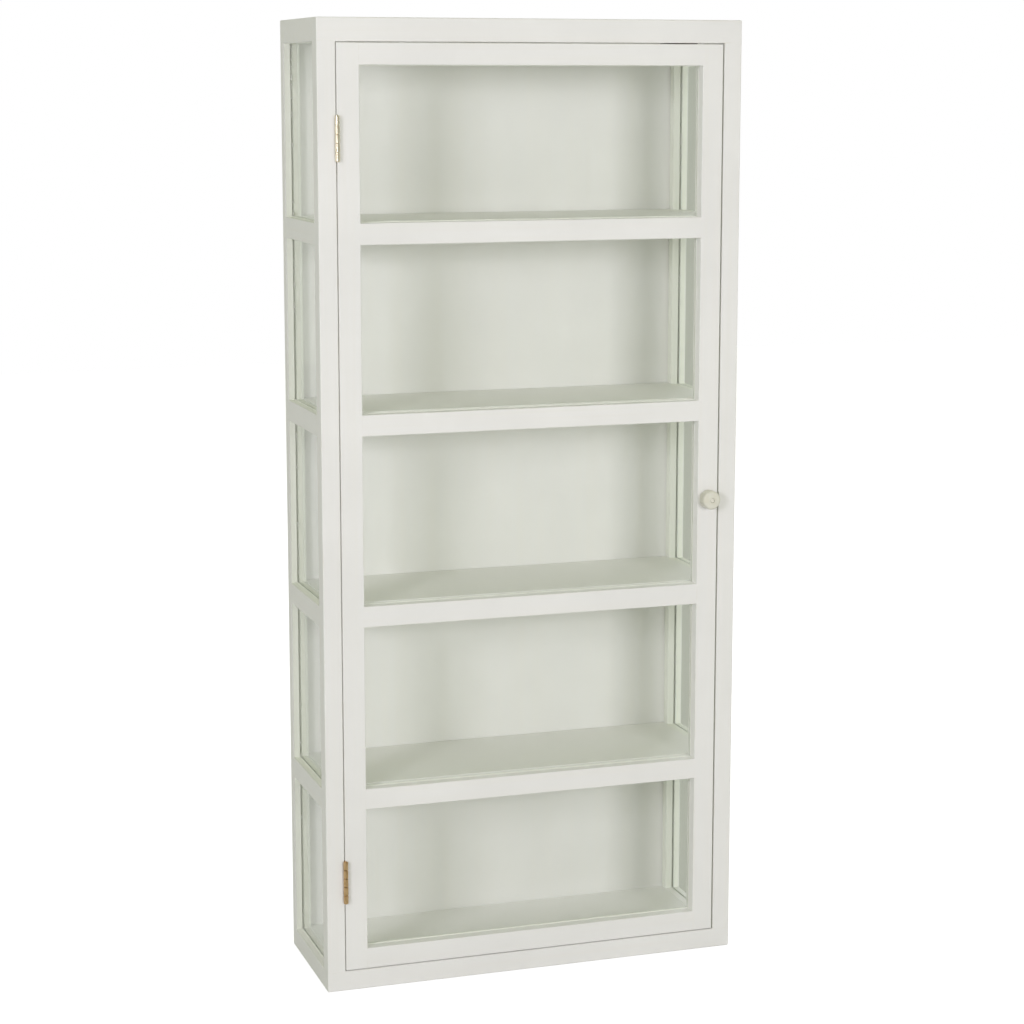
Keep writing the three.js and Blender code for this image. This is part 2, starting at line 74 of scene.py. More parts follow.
def millimetres(**lengths):
    """Named lengths, given in millimetres and kept in metres."""
    return {name: length * MM for name, length in lengths.items()}


# ---------- settings

CAMERA = {
    "place": Vector((-0.8878, -2.755, 0.48)),
    "turn_right": 18.36,
    "look_down": 9.32,
    "lens": 85.4,
    "sensor": 36.0,
    "shift": (0.0027, -0.03),
}

# Softboxes: where each stands, how wide it is, its power in watts and its colour.
LIGHTS = {
    "key_light": ((-2.98, -2.88, 0.90), 0.84, 48.5, (1.0, 0.955, 1.09)),
    "front_light": ((0.95, -5.0, 0.75), 1.4, 83.5, (1.0, 0.96, 1.05)),
    "back_light": ((1.70, 2.60, 1.50), 1.2, 38.0, (0.97, 0.95, 1.15)),
}
NO_REFLECTION = ("front_light", "back_light")  # they would show as white patches in the panes
LIGHT_TARGET = Vector((0.0, -0.09, 0.0))
# The surroundings that light the cabinet, and those that its glass and metal mirror. The slant says
# how much more comes from each direction.
AMBIENT = {"color": (1.0, 1.05, 0.80), "strength": 0.365, "slant": (-0.06, 0.0, 0.40)}
MIRRORED = {"color": (0.98, 1.02, 0.93), "strength": 0.52, "slant": (-0.05, 0.35, 0.0)}
FLOOR_SIZE = 12.0
FLOOR_GAP = 0.5 * MM

PAINT_OUTSIDE = (0.79, 0.787, 0.766)
# Painted light: the reveal, board-inside and door-inside tones are brighter and yellower than the outer
# paint, standing in for the light that bounces round inside the case.
REVEAL_TONE_WITH_PAINTED_LIGHT = (0.90, 0.915, 0.84)  # the frame's surfaces that face into the case and its openings
# Painted light: the shelves are brighter than the outer paint, standing in for the light that reaches their
# tops inside the case.
SHELF_TONE_WITH_PAINTED_LIGHT = (0.88, 0.878, 0.846)
BOARD_INSIDE_TONE_WITH_PAINTED_LIGHT = (0.93, 0.925, 0.905)
PAINT_PANEL = (0.815, 0.811, 0.788)
DOOR_INSIDE_TONE_WITH_PAINTED_LIGHT = (0.865, 0.866, 0.832)
# The white surroundings as seen directly, through one pane, and through two; behind the panes the paper is
# drawn darker, a painted shade. Each pane has two faces, and a ray that has passed at least the stated
# number of them has met one pane, or two.
PAPER = (1.0, 1.0, 1.0)
SHADED_PAPER_BEHIND_ONE = (0.70, 0.71, 0.665)
SHADED_PAPER_BEHIND_TWO = (0.447, 0.457, 0.402)
FACE_OF_ONE_PANE = 0.5
FACES_OF_TWO_PANES = 2.5
FLOOR_TONES = ((0.69, 0.69, 0.69), (0.71, 0.71, 0.71))  # as the light that bounces off it meets it
FLOOR_SEEN = (0.4, 0.4, 0.4)  # the part of what the camera sees that the cabinet can shade
FLOOR_GLOW = (0.85, 0.85, 0.85)  # keeps the floor white outside the cabinet's own soft shadow
FLOOR_MIRRORED = (0.57, 0.59, 0.55)  # the floor as the glass and the metal mirror it

SMOOTH_ANGLE = math.radians(35.0)
RIM_ANGLE = math.radians(60.0)
COINCIDENT = 0.001 * MM  # vertices nearer than this are one
WELD = 0.004 * MM  # closes the hairline cracks that a boolean leaves
ROUND = 48  # segments of a small turned piece
SCREW_ROUND = 24
ARC_STEPS = {"pin": 6, "knob_foot": 8, "knob_edge": 10, "plug": 4}
CORNER_SEGMENTS = 6
RIM_SEGMENTS = 2
SEED = 11

INNER_DEPTH = 1.2 * MM  # how far under the outer faces the inner tone, with its painted light, starts
WEAR = millimetres(full=0.3, none=1.6)  # distances from an edge where its paint is worn, and isn't
# What is left of a paint's red, green and blue.
TINT = {"bands": (0.985, 0.97, 0.93), "worn": (0.86, 0.83, 0.75), "handled": (0.95, 0.93, 0.87)}
PAINT_IOR = 1.46
GLASS_IOR = 1.36  # a little low, for softer reflections at a slant
REFLECTIONS_OF_A_PANE = 1.5  # what both of its faces reflect, against one
GLASS_TINT = (0.990, 0.998, 0.985, 1.0)
GLASS_ROUGHNESS = 0.03
DUST = {"color": (0.85, 0.86, 0.83, 1.0), "least": 0.004, "most": 0.02}
# How fine the patterns of the paint are, in cells per metre. A pair is across and along the grain.
PATTERN = {"mottling": 7.0, "bands": (160.0, 3.0), "brush": (1100.0, 14.0), "nibs": 520.0, "wear": 38.0}

HINGE = millimetres(
    leaf=0.75, recess=0.45, depth=17.0, set_back=0.5, tab=2.5, corner=1.2, ease=0.15,
    barrel=2.7, bore=1.35, pin=1.25, pin_proud=0.6, knuckle_gap=0.5, chamfer=0.5,
    screw_inset=10.5, screw_spacing=17.0, hole_length=3.0,
)
HINGE_KNUCKLES = 5
HINGE_SCREWS = 3  # in each leaf

# Screws: radius of the head and of the shank, and length under the head's face or seat. The dome is
# the height of a domed head.
HINGE_SCREW = millimetres(head=2.4, shank=1.2, length=11.0)
PLATE_SCREW = millimetres(head=2.8, shank=1.5, length=12.0)
CATCH_SCREW = millimetres(head=2.3, shank=1.1, length=13.0, dome=1.3)
KNOB_SCREW = millimetres(head=4.0, shank=2.0, length=29.0, dome=2.5)
KNOB_SCREW_TURN = math.radians(20.0)
# A flat head's rim and face, as shares of its radius, and points over a domed head, as shares of its
# radius and its height.
FLAT_HEAD = {"rim": 0.05, "face": 0.96}
DOMED_HEAD = ((1.0, 0.3), (0.8, 0.8), (0.45, 0.97))
# The cross recess, as shares of the radius of the head.
RECESS = {"reach": 0.58, "half": 0.13, "depth_in_dome": 0.5, "depth_in_flat": 0.32}
SCREW_HOLE_CLEARANCE = 0.08 * MM
THREAD_DEPTH = 0.25  # share of the shank's radius
TURNS_WITHOUT_THREAD = 2

KNOB = millimetres(
    radius=11.0, foot=10.0, foot_rise=1.0, foot_height=3.0, projection=16.0, edge=3.6, crown=0.8,
    bore=2.3, bore_depth=10.0, plug=2.4, plug_hole=2.7, plug_depth=4.5, plug_length=4.2, rim=0.3,
)
KNOB_FACE_RINGS = (0.75, 0.5, 0.25, 0.0)  # shares of the way out from the plug's hole
CATCH = millimetres(
    ear=5.2, ear_height=4.0, corner=2.0, ease=0.4, slot_radius=1.3, slot_reach=2.5,
    pole=0.8, pole_ease=0.1, core_set_back=0.2, pocket_clearance=0.3,
    # The lip is a dark sheet in the gap over the door, a painted shade there.
    lip=0.8, lip_ease=0.1, lip_set_back=0.4, lip_overlap=4.0,
)
SLOT_ROUNDING = 0.98  # share of the slot's radius
STRIKE_PLATE = millimetres(corner=2.5, ease=0.25)
HANGER_SCREW_OFFSET = 15.0 * MM

PANEL_PIN = millimetres(head=1.5, shank=0.7, length=13.0, inset=3.0)
PANEL_PIN_FACE = 0.9  # share of the head's radius
PANEL_PINS = (4, 10)  # along the short and the long sides of the back panel
PANES = 5  # in the door and in each side
GLASS_IN_GROOVE = 5.0 * MM
# Putty: its gap to the glass, how far it reaches over the glass and out from it, its thin toe, how
# far it is sunk into the wood, and how deep it sits in the groove of a back post.
PUTTY = millimetres(gap=0.02, up=0.6, out=0.6, toe=0.12, sink=0.25, back=3.0)

DAUB = millimetres(thick=0.2, wide=3.4, radius=0.75, step=3.0)
# What chance makes of the daubs, as shares of their radius, step and length, and of a lump's height.
DAUB_VARIES = {"radius": (0.6, 1.3), "step": (0.6, 1.4), "length": (0.9, 1.9), "lump": (0.86, 1.1)}
DAUB_SHARE = {"left": 0.28, "right": 0.6}  # of the steps that have a daub, at the top of the case
DAUB_SHARE_AT_FOOT = 0.15  # of the share at the top
DAUB_FADE = 3  # the power of the height by which the share grows towards the top


# ---------- shader helpers

# The colour sockets of a Mix node, whose names its other sockets share.
MIX_COLOR_INPUTS = (6, 7)
MIX_COLOR_OUTPUT = 2


class Shader:
    """A material or a world under construction, with short calls for the nodes that it needs."""

    def __init__(self, name, library=bpy.data.materials, output="ShaderNodeOutputMaterial"):
        self.owner = library.new(name)
        self.owner.use_nodes = True
        self.tree = self.owner.node_tree
        self.tree.nodes.clear()
        self.output = self.node(output)
        self.coordinates = self.node("ShaderNodeTexCoord")

    def node(self, kind, **settings):
        made = self.tree.nodes.new(kind)
        for key, value in settings.items():
            setattr(made, key, value)
        return made

    def link(self, source, target):
        self.tree.links.new(source, target)

    def stretched(self, scale):
        """Object coordinates multiplied by a scale for each axis, in cells per metre."""
        mapping = self.node("ShaderNodeMapping")
        mapping.inputs["Scale"].default_value = scale
        self.link(self.coordinates.outputs["Object"], mapping.inputs["Vector"])
        return mapping.outputs["Vector"]

    def noise(self, scale, detail=3.0, roughness=0.5):
        made = self.node("ShaderNodeTexNoise")
        made.inputs["Scale"].default_value = 1.0
        made.inputs["Detail"].default_value = detail
        made.inputs["Roughness"].default_value = roughness
        self.link(self.stretched(scale), made.inputs["Vector"])
        return made.outputs["Fac"]

    def remap(self, value, low, high, to_low=0.0, to_high=1.0):
        made = self.node("ShaderNodeMapRange", clamp=True)
        self.link(value, made.inputs["Value"])
        for key, number in zip(("From Min", "From Max", "To Min", "To Max"), (low, high, to_low, to_high)):
            made.inputs[key].default_value = number
        return made.outputs["Result"]

    def math(self, operation, a, b=None):
        made = self.node("ShaderNodeMath", operation=operation)
        for socket, value in zip(made.inputs, (a, b)):
            if value is None:
                continue
            if isinstance(value, (int, float)):
                socket.default_value = value
            else:
                self.link(value, socket)
        return made.outputs["Value"]

    def mix(self, factor, a, b):
        """Blend of two colours; each is an RGB tuple or a socket."""
        made = self.node("ShaderNodeMix", data_type="RGBA")
        self.link(factor, made.inputs["Factor"])
        for index, value in zip(MIX_COLOR_INPUTS, (a, b)):
            if isinstance(value, tuple):
                made.inputs[index].default_value = (*value, 1.0)
            else:
                self.link(value, made.inputs[index])
        return made.outputs[MIX_COLOR_OUTPUT]

    def blend(self, factor, a, b):
        """Blend of two surfaces or backgrounds: a where the factor is 0, and b where it is 1."""
        made = self.node("ShaderNodeMixShader")
        for socket, source in zip(made.inputs, (factor, a, b)):
            self.link(source, socket)
        return made.outputs["Shader"]

    def bump(self, height, strength, millimetres_high, below=None):
        made = self.node("ShaderNodeBump")
        made.inputs["Strength"].default_value = strength
        made.inputs["Distance"].default_value = millimetres_high * MM
        self.link(height, made.inputs["Height"])
        if below is not None:
            self.link(below, made.inputs["Normal"])
        return made.outputs["Normal"]

    def principled(self, color, roughness, normal=None, **constants):
        made = self.node("ShaderNodeBsdfPrincipled")
        self.link(color, made.inputs["Base Color"])
        self.link(roughness, made.inputs["Roughness"])
        if normal is not None:
            self.link(normal, made.inputs["Normal"])
        for key, value in constants.items():
            made.inputs[key.replace("_", " ")].default_value = value
        self.link(made.outputs["BSDF"], self.output.inputs["Surface"])
        return made


def shade(color, factor):
    return tuple(channel * factor for channel in color)


def tint(color, factors):
    return tuple(channel * factor for channel, factor in zip(color, factors))


def even(number):
    """The same number for all three axes or colours."""
    return (number, number, number)


# ---------- materials


def painted_wood(name, color, inner, grain_axis, cross_section):
    """Hand-brushed satin paint over wood. If an inner tone is given, the inner surfaces take it: painted
    light, brighter and yellower than the paint, for the light that bounces round inside the case.
    Brush marks run along grain_axis (0, 1 or 2), and the long edges, found from the other two sizes
    of the piece in cross_section, show some wear."""
    shader = Shader(name)
    bands_scale, brush_scale = [
        tuple(along if axis == grain_axis else across for axis in range(3))
        for across, along in (PATTERN["bands"], PATTERN["brush"])
    ]
    mottling = shader.noise(even(PATTERN["mottling"]), detail=4.0, roughness=0.55)
    bands = shader.noise(bands_scale, detail=3.0)
    brush = shader.noise(brush_scale, detail=4.0, roughness=0.6)
    nibs = shader.noise(even(PATTERN["nibs"]), detail=1.0)

    tone = shader.mix(shader.remap(mottling, 0.35, 0.65), shade(color, 0.965), shade(color, 1.02))
    tone = shader.mix(shader.remap(bands, 0.42, 0.7, 0.0, 0.3), tone, tint(color, TINT["bands"]))
    tone = shader.mix(shader.remap(brush, 0.3, 0.75, 0.0, 0.18), tone, shade(color, 0.93))

    # Painted light: the inner surfaces take a brighter, yellower tone that stands in for the light bouncing
    # round inside the case.
    if inner is not None:
        inner_painted_light_tone = shader.mix(brush, inner, shade(inner, 0.98))
        tone = shader.mix(inner_painted_light_mask(shader), tone, inner_painted_light_tone)

    wear = edge_wear(shader, grain_axis, cross_section)
    tone = shader.mix(wear, tone, tint(color, TINT["worn"]))

    roughness = shader.remap(shader.math("ADD", brush, mottling), 0.7, 1.3, 0.38, 0.56)
    normal = shader.bump(brush, 0.35, 0.12)
    normal = shader.bump(bands, 0.25, 0.5, normal)
    normal = shader.bump(shader.remap(nibs, 0.72, 0.8), 0.3, 0.15, normal)
    shader.principled(tone, roughness, normal, IOR=PAINT_IOR)
    return shader.owner


def inner_painted_light_mask(shader):
    """A mask that is 1 on every surface deeper than the outer faces of the case and the door, where the inner
    tone paints in light.
    """
    case_low, case_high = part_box("bottom_board")
    split = shader.node("ShaderNodeSeparateXYZ")
    shader.link(shader.coordinates.outputs["Object"], split.inputs["Vector"])
    across = shader.math("ABSOLUTE", split.outputs[0])
    upward = shader.math("ABSOLUTE", split.outputs[2])
    tests = [
        shader.math("LESS_THAN", across, case_high.x - INNER_DEPTH),
        shader.math("LESS_THAN", upward, -case_low.z - INNER_DEPTH),
        shader.math("GREATER_THAN", split.outputs[1], case_low.y + INNER_DEPTH),
        shader.math("LESS_THAN", split.outputs[1], case_high.y - INNER_DEPTH),
    ]
    inside = tests[0]
    for test in tests[1:]:
        inside = shader.math("MULTIPLY", inside, test)
    return inside


def edge_wear(shader, grain_axis, cross_section):
    """A mask that is 1 along the long edges of a bar and fades within a millimetre or two. It is
    broken up by noise, so that only stretches of an edge are worn."""
    axes = [axis for axis in range(3) if axis != grain_axis]
    split = shader.node("ShaderNodeSeparateXYZ")
    shader.link(shader.coordinates.outputs["Generated"], split.inputs["Vector"])
    half = 0.5  # of a size, in Generated coordinates
    near = []
    for axis, size in zip(axes, cross_section):
        from_middle = shader.math("ABSOLUTE", shader.math("SUBTRACT", split.outputs[axis], half))
        near.append(shader.remap(from_middle, half - WEAR["none"] / size, half - WEAR["full"] / size))
    corner = shader.math("MULTIPLY", near[0], near[1])
    patches = shader.noise(even(PATTERN["wear"]), detail=5.0, roughness=0.65)
    return shader.math("MULTIPLY", corner, shader.remap(patches, 0.5, 0.72, 0.0, 0.55))


def glass(name):
    """Clear float glass: it lets light through, reflects more at a slant and carries a little dust.
    Rays pass through it unbent, so the face that a ray enters by carries the reflections of both
    faces, and the way out is clear."""
    shader = Shader(name)
    wave = shader.noise(even(5.0), detail=1.0)
    normal = shader.bump(wave, 0.05, 2.0)
    fresnel = shader.node("ShaderNodeFresnel")
    fresnel.inputs["IOR"].default_value = GLASS_IOR
    shader.link(normal, fresnel.inputs["Normal"])
    facing = shader.node("ShaderNodeNewGeometry")
    entering = shader.math("SUBTRACT", 1.0, facing.outputs["Backfacing"])
    both_faces = shader.math("MULTIPLY", fresnel.outputs["Fac"], REFLECTIONS_OF_A_PANE)
    reflected = shader.math("MULTIPLY", both_faces, entering)

    clear = shader.node("ShaderNodeBsdfTransparent")
    clear.inputs["Color"].default_value = GLASS_TINT
    gloss = shader.node("ShaderNodeBsdfGlossy")
    gloss.inputs["Roughness"].default_value = GLASS_ROUGHNESS
    shader.link(normal, gloss.inputs["Normal"])
    pane = shader.blend(reflected, clear.outputs["BSDF"], gloss.outputs["BSDF"])

    dust = shader.node("ShaderNodeBsdfDiffuse")
    dust.inputs["Color"].default_value = DUST["color"]
    smears = shader.noise((16.0, 16.0, 9.0), detail=6.0, roughness=0.7)
    film = shader.remap(smears, 0.45, 0.8, DUST["least"], DUST["most"])
    dusty = shader.blend(film, pane, dust.outputs["BSDF"])
    shader.link(dusty, shader.output.inputs["Surface"])
    return shader.owner


def brass(name, bright, tarnish, cover):
    """Drawn brass with fine lines along Z. The tarnish covers more of it as cover goes from 0 to 1."""
    shader = Shader(name)
    lines = shader.noise((1500.0, 1500.0, 60.0), detail=3.0)
    stains = shader.noise((240.0, 240.0, 130.0), detail=5.0, roughness=0.65)
    start = 0.56 - cover * 0.4
    tone = shader.mix(shader.remap(stains, start, start + 0.4), bright, tarnish)
    tone = shader.mix(shader.remap(lines, 0.35, 0.75, 0.0, 0.15), tone, shade(tarnish, 0.8))
    roughness = shader.remap(stains, 0.3, 0.75, 0.24, 0.5)
    normal = shader.bump(lines, 0.12, 0.1)
    shader.principled(tone, roughness, normal, Metallic=1.0)
    return shader.owner


def metal(name, color, rough=(0.25, 0.45)):
    """Zinc-plated steel with faint clouding and scratches."""
    shader = Shader(name)
    clouds = shader.noise(even(300.0), detail=4.0)
    scratches = shader.noise((2200.0, 240.0, 2200.0), detail=2.0)
    tone = shader.mix(shader.remap(clouds, 0.3, 0.7), shade(color, 0.8), shade(color, 1.1))
    normal = shader.bump(scratches, 0.2, 0.1)
    shader.principled(tone, shader.remap(clouds, 0.3, 0.7, *rough), normal, Metallic=1.0)
    return shader.owner


def moulded_plastic(name, color):
    shader = Shader(name)
    grain = shader.noise(even(1800.0), detail=2.0)
    clouds = shader.noise(even(90.0), detail=3.0)
    tone = shader.mix(shader.remap(clouds, 0.3, 0.7), shade(color, 0.85), shade(color, 1.15))
    normal = shader.bump(grain, 0.25, 0.1)
    shader.principled(tone, shader.remap(clouds, 0.3, 0.7, 0.4, 0.55), normal)
    return shader.owner


def knob_paint(name, color):
    """Cream paint on turned wood, a little yellower and darker where it is handled."""
    shader = Shader(name)
    clouds = shader.noise(even(110.0), detail=5.0, roughness=0.6)
    rings = shader.noise((60.0, 900.0, 60.0), detail=2.0)
    tone = shader.mix(shader.remap(clouds, 0.35, 0.7), color, tint(color, TINT["handled"]))
    roughness = shader.remap(clouds, 0.3, 0.7, 0.34, 0.5)
    normal = shader.bump(rings, 0.2, 0.2)
    shader.principled(tone, roughness, normal, IOR=PAINT_IOR)
    return shader.owner


def thick_paint(name, color):
    """Paint that dried thick, in beads or over putty."""
    shader = Shader(name)
    clouds = shader.noise(even(700.0), detail=3.0)
    tone = shader.mix(clouds, shade(color, 0.94), shade(color, 1.05))
    normal = shader.bump(clouds, 0.3, 0.2)
    shader.principled(tone, shader.remap(clouds, 0.3, 0.7, 0.3, 0.45), normal, IOR=PAINT_IOR)
    return shader.owner


def floor_material():
    """A pale floor that reads as plain white paper, except where the cabinet shades it."""
    shader = Shader("floor_pale")
    path = shader.node("ShaderNodeLightPath")
    camera, mirrored = path.outputs["Is Camera Ray"], path.outputs["Is Glossy Ray"]
    faces = path.outputs["Transparent Depth"]
    seen = shader.math("ADD", camera, mirrored)
    no_glass = shader.math("LESS_THAN", faces, FACE_OF_ONE_PANE)
    one_pane = shader.math("LESS_THAN", faces, FACES_OF_TWO_PANES)
    direct = shader.math("MULTIPLY", camera, no_glass)
    clouds = shader.noise(even(3.0), detail=2.0)
    tone = shader.mix(shader.remap(clouds, 0.3, 0.7), *FLOOR_TONES)
    tone = shader.mix(seen, tone, even(0.0))
    tone = shader.mix(direct, tone, FLOOR_SEEN)
    paper = shader.principled(tone, shader.remap(clouds, 0.3, 0.7, 0.6, 0.7))
    # Painted shade: seen through the panes, the floor glows in the darker tones of the paper behind glass.
    glow = shader.mix(one_pane, SHADED_PAPER_BEHIND_TWO, SHADED_PAPER_BEHIND_ONE)
    glow = shader.mix(direct, glow, FLOOR_GLOW)
    glow = shader.mix(mirrored, glow, FLOOR_MIRRORED)
    paper.inputs["Specular IOR Level"].default_value = 0.0
    shader.link(glow, paper.inputs["Emission Color"])
    shader.link(seen, paper.inputs["Emission Strength"])
    return shader.owner


# ---------- stage, lights and camera


def add_camera():
    data = bpy.data.cameras.new("camera")
    data.lens = CAMERA["lens"]
    data.sensor_width = CAMERA["sensor"]
    data.shift_x, data.shift_y = CAMERA["shift"]
    camera = bpy.data.objects.new("camera", data)
    camera.location = CAMERA["place"]
    pitch, turn = 90.0 - CAMERA["look_down"], -CAMERA["turn_right"]
    camera.rotation_euler = (math.radians(pitch), 0.0, math.radians(turn))
    bpy.context.collection.objects.link(camera)
    bpy.context.scene.camera = camera


def add_lights():
    for name, (place, width, power, color) in LIGHTS.items():
        data = bpy.data.lights.new(name, "AREA")
        data.shape = "SQUARE"
        data.size = width
        data.energy = power
        data.color = color
        light = bpy.data.objects.new(name, data)
        light.location = place
        light.visible_glossy = name not in NO_REFLECTION
        light.rotation_euler = (LIGHT_TARGET - Vector(place)).to_track_quat("-Z", "Y").to_euler()
        bpy.context.collection.objects.link(light)


def surroundings(shader, color, strength=1.0, slant=(0.0, 0.0, 0.0)):
    """A background of one colour whose strength leans towards the slant."""
    lean = shader.node("ShaderNodeVectorMath", operation="DOT_PRODUCT")
    lean.inputs[1].default_value = shade(slant, strength)
    shader.link(shader.coordinates.outputs["Generated"], lean.inputs[0])
    background = shader.node("ShaderNodeBackground")
    background.inputs["Color"].default_value = (*color, 1.0)
    shader.link(shader.math("ADD", lean.outputs["Value"], strength), background.inputs["Strength"])
    return background.outputs["Background"]


def add_world():
    """Soft ambient light from all round, with white paper behind the cabinet, drawn darker as a painted shade
    where it is seen through the panes.
    """
    shader = Shader("studio", bpy.data.worlds, "ShaderNodeOutputWorld")
    path = shader.node("ShaderNodeLightPath")
    paper = surroundings(shader, SHADED_PAPER_BEHIND_TWO)
    for faces, color in ((FACES_OF_TWO_PANES, SHADED_PAPER_BEHIND_ONE), (FACE_OF_ONE_PANE, PAPER)):
        fewer = shader.math("LESS_THAN", path.outputs["Transparent Depth"], faces)
        paper = shader.blend(fewer, paper, surroundings(shader, color))
    ambient, mirrored = surroundings(shader, **AMBIENT), surroundings(shader, **MIRRORED)
    unseen = shader.blend(path.outputs["Is Glossy Ray"], ambient, mirrored)
    shown = shader.blend(path.outputs["Is Camera Ray"], unseen, paper)
    shader.link(shown, shader.output.inputs["Surface"])
    bpy.context.scene.world = shader.owner
    bpy.context.scene.view_settings.view_transform = "Standard"


def add_floor():
    """A pale floor just under the cabinet."""
    half = FLOOR_SIZE / 2
    mesh = bpy.data.meshes.new("floor")
    corners = [(-half, -half, 0.0), (half, -half, 0.0), (half, half, 0.0), (-half, half, 0.0)]
    mesh.from_pydata(corners, [], [(0, 1, 2, 3)])
    floor = bpy.data.objects.new("floor", mesh)
    floor.location.z = cad_low.z - FLOOR_GAP
    mesh.materials.append(floor_material())
    bpy.context.collection.objects.link(floor)


# ---------- finishes of the CAD nodes


def give(node, material):
    """Puts one material on a CAD node."""
    item = frame["nodes"][node]
    if not item.material_slots:
        raise RuntimeError(f"{node} has no material slot")
    for index in range(len(item.material_slots)):
        item.material_slots[index].link = "OBJECT"
        item.material_slots[index].material = material


def back_middle(node):
    """The middle of the back face of a node's box."""
    low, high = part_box(node)
    return Vector(((low.x + high.x) / 2, high.y, (low.z + high.z) / 2))


def size_across(node, grain_axis):
    low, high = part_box(node)
    return [high[axis] - low[axis] for axis in range(3) if axis != grain_axis]


def smoothing_nodes():
    """Joins the imported faces and shades them smooth, except across sharp edges."""
    tree = bpy.data.node_groups.new("smooth_by_angle", "GeometryNodeTree")
    tree.interface.new_socket("Geometry", in_out="INPUT", socket_type="NodeSocketGeometry")
    tree.interface.new_socket("Geometry", in_out="OUTPUT", socket_type="NodeSocketGeometry")
    add = tree.nodes.new
    start, end = add("NodeGroupInput"), add("NodeGroupOutput")
    merge = add("GeometryNodeMergeByDistance")
    merge.inputs["Distance"].default_value = COINCIDENT
    plain = add("GeometryNodeRemoveAttribute")
    plain.inputs["Name"].default_value = "custom_normal"
    faces = add("GeometryNodeSetShadeSmooth")
    angle = add("GeometryNodeInputMeshEdgeAngle")
    gentle = add("FunctionNodeCompare")
    gentle.operation = "LESS_THAN"
    gentle.inputs["B"].default_value = SMOOTH_ANGLE
    edges = add("GeometryNodeSetShadeSmooth")
    edges.domain = "EDGE"
    for source, target in ((start, plain), (plain, merge), (merge, faces), (faces, edges), (edges, end)):
        tree.links.new(source.outputs[0], target.inputs[0])
    tree.links.new(angle.outputs["Unsigned Angle"], gentle.inputs["A"])
    tree.links.new(gentle.outputs["Result"], edges.inputs["Shade Smooth"])
    return tree


def make_finishes():
    """The materials that don't depend on the size of the piece."""
    return {
        "glass": glass("clear_glass"),
        "brass_upper": brass("brass_upper", (0.95, 0.88, 0.70), (0.66, 0.47, 0.25), 0.1),
        "brass_lower": brass("brass_lower", (0.74, 0.51, 0.28), (0.46, 0.28, 0.12), 0.5),
        "steel": metal("plated_steel", (0.62, 0.61, 0.58)),
        "knob": knob_paint("knob_cream", (0.70, 0.695, 0.615)),
        "knob_plug": knob_paint("knob_plug_cream", (0.72, 0.71, 0.63)),
        "catch": moulded_plastic("catch_brown", (0.035, 0.022, 0.014)),
        "magnet": metal("magnet_grey", (0.12, 0.12, 0.125), (0.45, 0.6)),
        "daub": thick_paint("paint_daub", PAINT_OUTSIDE),
        # The putty takes the reveal's tone, painted light included.
        "putty": thick_paint("painted_putty", REVEAL_TONE_WITH_PAINTED_LIGHT),
    }


# The painted nodes: what each name holds, the paint, the tone of the inner surfaces (brighter and yellower,
# painted light for the light inside the case), and the axis that the grain and brush follow.
PAINTED = (
    ("side_rail", PAINT_OUTSIDE, REVEAL_TONE_WITH_PAINTED_LIGHT, 1),
    ("back_post", PAINT_OUTSIDE, REVEAL_TONE_WITH_PAINTED_LIGHT, 2),
    ("front_post", PAINT_OUTSIDE, REVEAL_TONE_WITH_PAINTED_LIGHT, 2),
    ("stile", PAINT_OUTSIDE, DOOR_INSIDE_TONE_WITH_PAINTED_LIGHT, 2),
    ("door", PAINT_OUTSIDE, DOOR_INSIDE_TONE_WITH_PAINTED_LIGHT, 0),
    ("board", PAINT_OUTSIDE, BOARD_INSIDE_TONE_WITH_PAINTED_LIGHT, 0),
    ("shelf", SHELF_TONE_WITH_PAINTED_LIGHT, None, 0),
    ("back_panel", PAINT_PANEL, None, 2),
)
# The other nodes, by the finish that each takes.
FITTINGS = (
    ("glass", "glass"),
    ("upper_hinge", "brass_upper"),
    ("lower_hinge", "brass_lower"),
    ("knob_screw", "steel"),
    ("knob", "knob"),
    ("catch_body", "catch"),
    ("catch_magnet", "magnet"),
    ("plate", "steel"),
)


def finish_nodes(finishes):
    """Every CAD node gets a procedural material by its kind, and smooth shading on its rounded edges."""
    smoothing = smoothing_nodes()
    paints = {}
    for node, item in frame["nodes"].items():
        smooth = item.modifiers.new("smooth_by_angle", "NODES")
        smooth.node_group = smoothing
        item.modifiers.new("weighted_normal", "WEIGHTED_NORMAL").keep_sharp = True
        fitting = next((finish for part, finish in FITTINGS if part in node), None)
        if fitting:
            give(node, finishes[fitting])
            continue
        kind, color, inner, grain_axis = next(row for row in PAINTED if row[0] in node)
        if kind not in paints:
            across = size_across(node, grain_axis)
            paints[kind] = painted_wood(f"paint_{kind}", color, inner, grain_axis, across)
        give(node, paints[kind])


# ---------- mesh helpers


def is_along(edge, axis):
    run = edge.verts[0].co - edge.verts[1].co
    return abs(run[axis]) > run.length / 2


def block(low, high):
    bm = bmesh.new()
    bmesh.ops.create_cube(bm, size=1.0)
    low, high = Vector(low), Vector(high)
    spread = Matrix.Diagonal((*(high - low), 1.0))
    bmesh.ops.transform(bm, matrix=Matrix.Translation((low + high) / 2) @ spread, verts=bm.verts)
    return bm


def bevel(bm, edges, width, segments):
    bmesh.ops.bevel(bm, geom=edges, offset=width, segments=segments, profile=0.5, affect="EDGES")


def plate(low, high, axis, corner, ease):
    """A slab between two points. Its corners are rounded as seen along one axis, then its rims are
    eased."""
    bm = block(low, high)
    along = [edge for edge in bm.edges if is_along(edge, axis)]
    bevel(bm, along, corner, CORNER_SEGMENTS)
    rims = [edge for edge in bm.edges if edge.calc_face_angle(0.0) > RIM_ANGLE]
    bevel(bm, rims, ease, RIM_SEGMENTS)
    return bm


